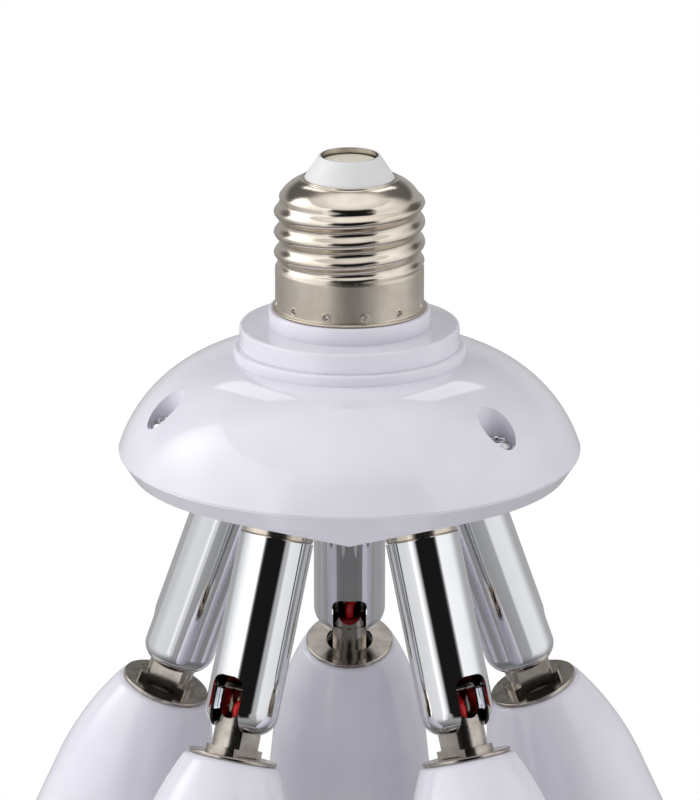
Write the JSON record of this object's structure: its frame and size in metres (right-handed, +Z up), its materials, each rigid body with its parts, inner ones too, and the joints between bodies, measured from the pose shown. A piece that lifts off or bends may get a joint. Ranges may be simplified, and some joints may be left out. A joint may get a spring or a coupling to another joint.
{
  "type": "lamp socket splitter",
  "caption": "White hub with a screw cap on top and splayed chrome arms below, each turning and carrying a bell-shaped lamp holder on a tilting knuckle.",
  "frame": {"origin": "on the cap's axis, where its plain skirt rises from the rim", "axes": "+Z up along the cap towards its centre contact, -Y the side that the picture shows"},
  "size_m": [0.1368, 0.1319, 0.1627],
  "materials": {
    "nickel": "bright nickel plate, warm",
    "contact_nickel": "satin nickel plate",
    "chrome": "mirror chrome plate",
    "screw_steel": "zinc plated",
    "white_plastic": "glossy moulded",
    "cap_insulator": "matt moulded",
    "socket_insulator": "matt moulded",
    "brass": "plain strip",
    "red_insulation": "extruded"
  },
  "bodies": {
    "hub": {"cap_shell": "nickel", "cap_insulator": "cap_insulator", "cap_contact": "contact_nickel", "upper_cover": "white_plastic", "lower_cover": "white_plastic", "cover_screws": "screw_steel", "arm_nipples": "nickel", "arm_rings": "nickel", "nipple_nuts": "nickel", "hub_leads": "red_insulation"},
    "arm_1": {"arm_tube_1": "chrome", "pivot_pin_1": "chrome", "arm_leads_1": "red_insulation"},
    "holder_1": {"knuckle_1": "nickel", "knuckle_washer_1": "nickel", "holder_shell_1": "white_plastic", "socket_base_1": "socket_insulator", "screw_shell_1": "nickel", "centre_contact_1": "brass", "holder_leads_1": "red_insulation"},
    "arm_2": {"arm_tube_2": "chrome", "pivot_pin_2": "chrome", "arm_leads_2": "red_insulation"},
    "holder_2": {"knuckle_2": "nickel", "knuckle_washer_2": "nickel", "holder_shell_2": "white_plastic", "socket_base_2": "socket_insulator", "screw_shell_2": "nickel", "centre_contact_2": "brass", "holder_leads_2": "red_insulation"},
    "arm_3": {"arm_tube_3": "chrome", "pivot_pin_3": "chrome", "arm_leads_3": "red_insulation"},
    "holder_3": {"knuckle_3": "nickel", "knuckle_washer_3": "nickel", "holder_shell_3": "white_plastic", "socket_base_3": "socket_insulator", "screw_shell_3": "nickel", "centre_contact_3": "brass", "holder_leads_3": "red_insulation"},
    "arm_4": {"arm_tube_4": "chrome", "pivot_pin_4": "chrome", "arm_leads_4": "red_insulation"},
    "holder_4": {"knuckle_4": "nickel", "knuckle_washer_4": "nickel", "holder_shell_4": "white_plastic", "socket_base_4": "socket_insulator", "screw_shell_4": "nickel", "centre_contact_4": "brass", "holder_leads_4": "red_insulation"},
    "arm_5": {"arm_tube_5": "chrome", "pivot_pin_5": "chrome", "arm_leads_5": "red_insulation"},
    "holder_5": {"knuckle_5": "nickel", "knuckle_washer_5": "nickel", "holder_shell_5": "white_plastic", "socket_base_5": "socket_insulator", "screw_shell_5": "nickel", "centre_contact_5": "brass", "holder_leads_5": "red_insulation"}
  },
  "joints": [
    {"name": "arm_1_turn", "type": "hinge", "parent": "hub", "child": "arm_1", "pos_m": [-0.01225, -0.01686, -0.03566], "axis": [-0.1981, -0.2727, -0.9415], "range_deg": [0, 350]},
    {"name": "holder_1_tilt", "type": "hinge", "parent": "arm_1", "child": "holder_1", "pos_m": [-0.01777, -0.02446, -0.0619], "axis": [-0.809, 0.5878, 0], "range_deg": [0, 60]},
    {"name": "arm_2_turn", "type": "hinge", "parent": "hub", "child": "arm_2", "pos_m": [0.01225, -0.01686, -0.03566], "axis": [0.1981, -0.2727, -0.9415], "range_deg": [0, 350]},
    {"name": "holder_2_tilt", "type": "hinge", "parent": "arm_2", "child": "holder_2", "pos_m": [0.01777, -0.02446, -0.0619], "axis": [-0.809, -0.5878, 0], "range_deg": [0, 60]},
    {"name": "arm_3_turn", "type": "hinge", "parent": "hub", "child": "arm_3", "pos_m": [0.01982, 0.00644, -0.03566], "axis": [0.3206, 0.1042, -0.9415], "range_deg": [0, 350]},
    {"name": "holder_3_tilt", "type": "hinge", "parent": "arm_3", "child": "holder_3", "pos_m": [0.02875, 0.00934, -0.0619], "axis": [0.309, -0.9511, 0], "range_deg": [0, 60]},
    {"name": "arm_4_turn", "type": "hinge", "parent": "hub", "child": "arm_4", "pos_m": [0, 0.02084, -0.03566], "axis": [0, 0.3371, -0.9415], "range_deg": [0, 350]},
    {"name": "holder_4_tilt", "type": "hinge", "parent": "arm_4", "child": "holder_4", "pos_m": [0, 0.03024, -0.0619], "axis": [-1, 0, 0], "range_deg": [0, 60]},
    {"name": "arm_5_turn", "type": "hinge", "parent": "hub", "child": "arm_5", "pos_m": [-0.01982, 0.00644, -0.03566], "axis": [-0.3206, 0.1042, -0.9415], "range_deg": [0, 350]},
    {"name": "holder_5_tilt", "type": "hinge", "parent": "arm_5", "child": "holder_5", "pos_m": [-0.02875, 0.00934, -0.0619], "axis": [0.309, 0.9511, 0], "range_deg": [0, 60]}
  ]
}
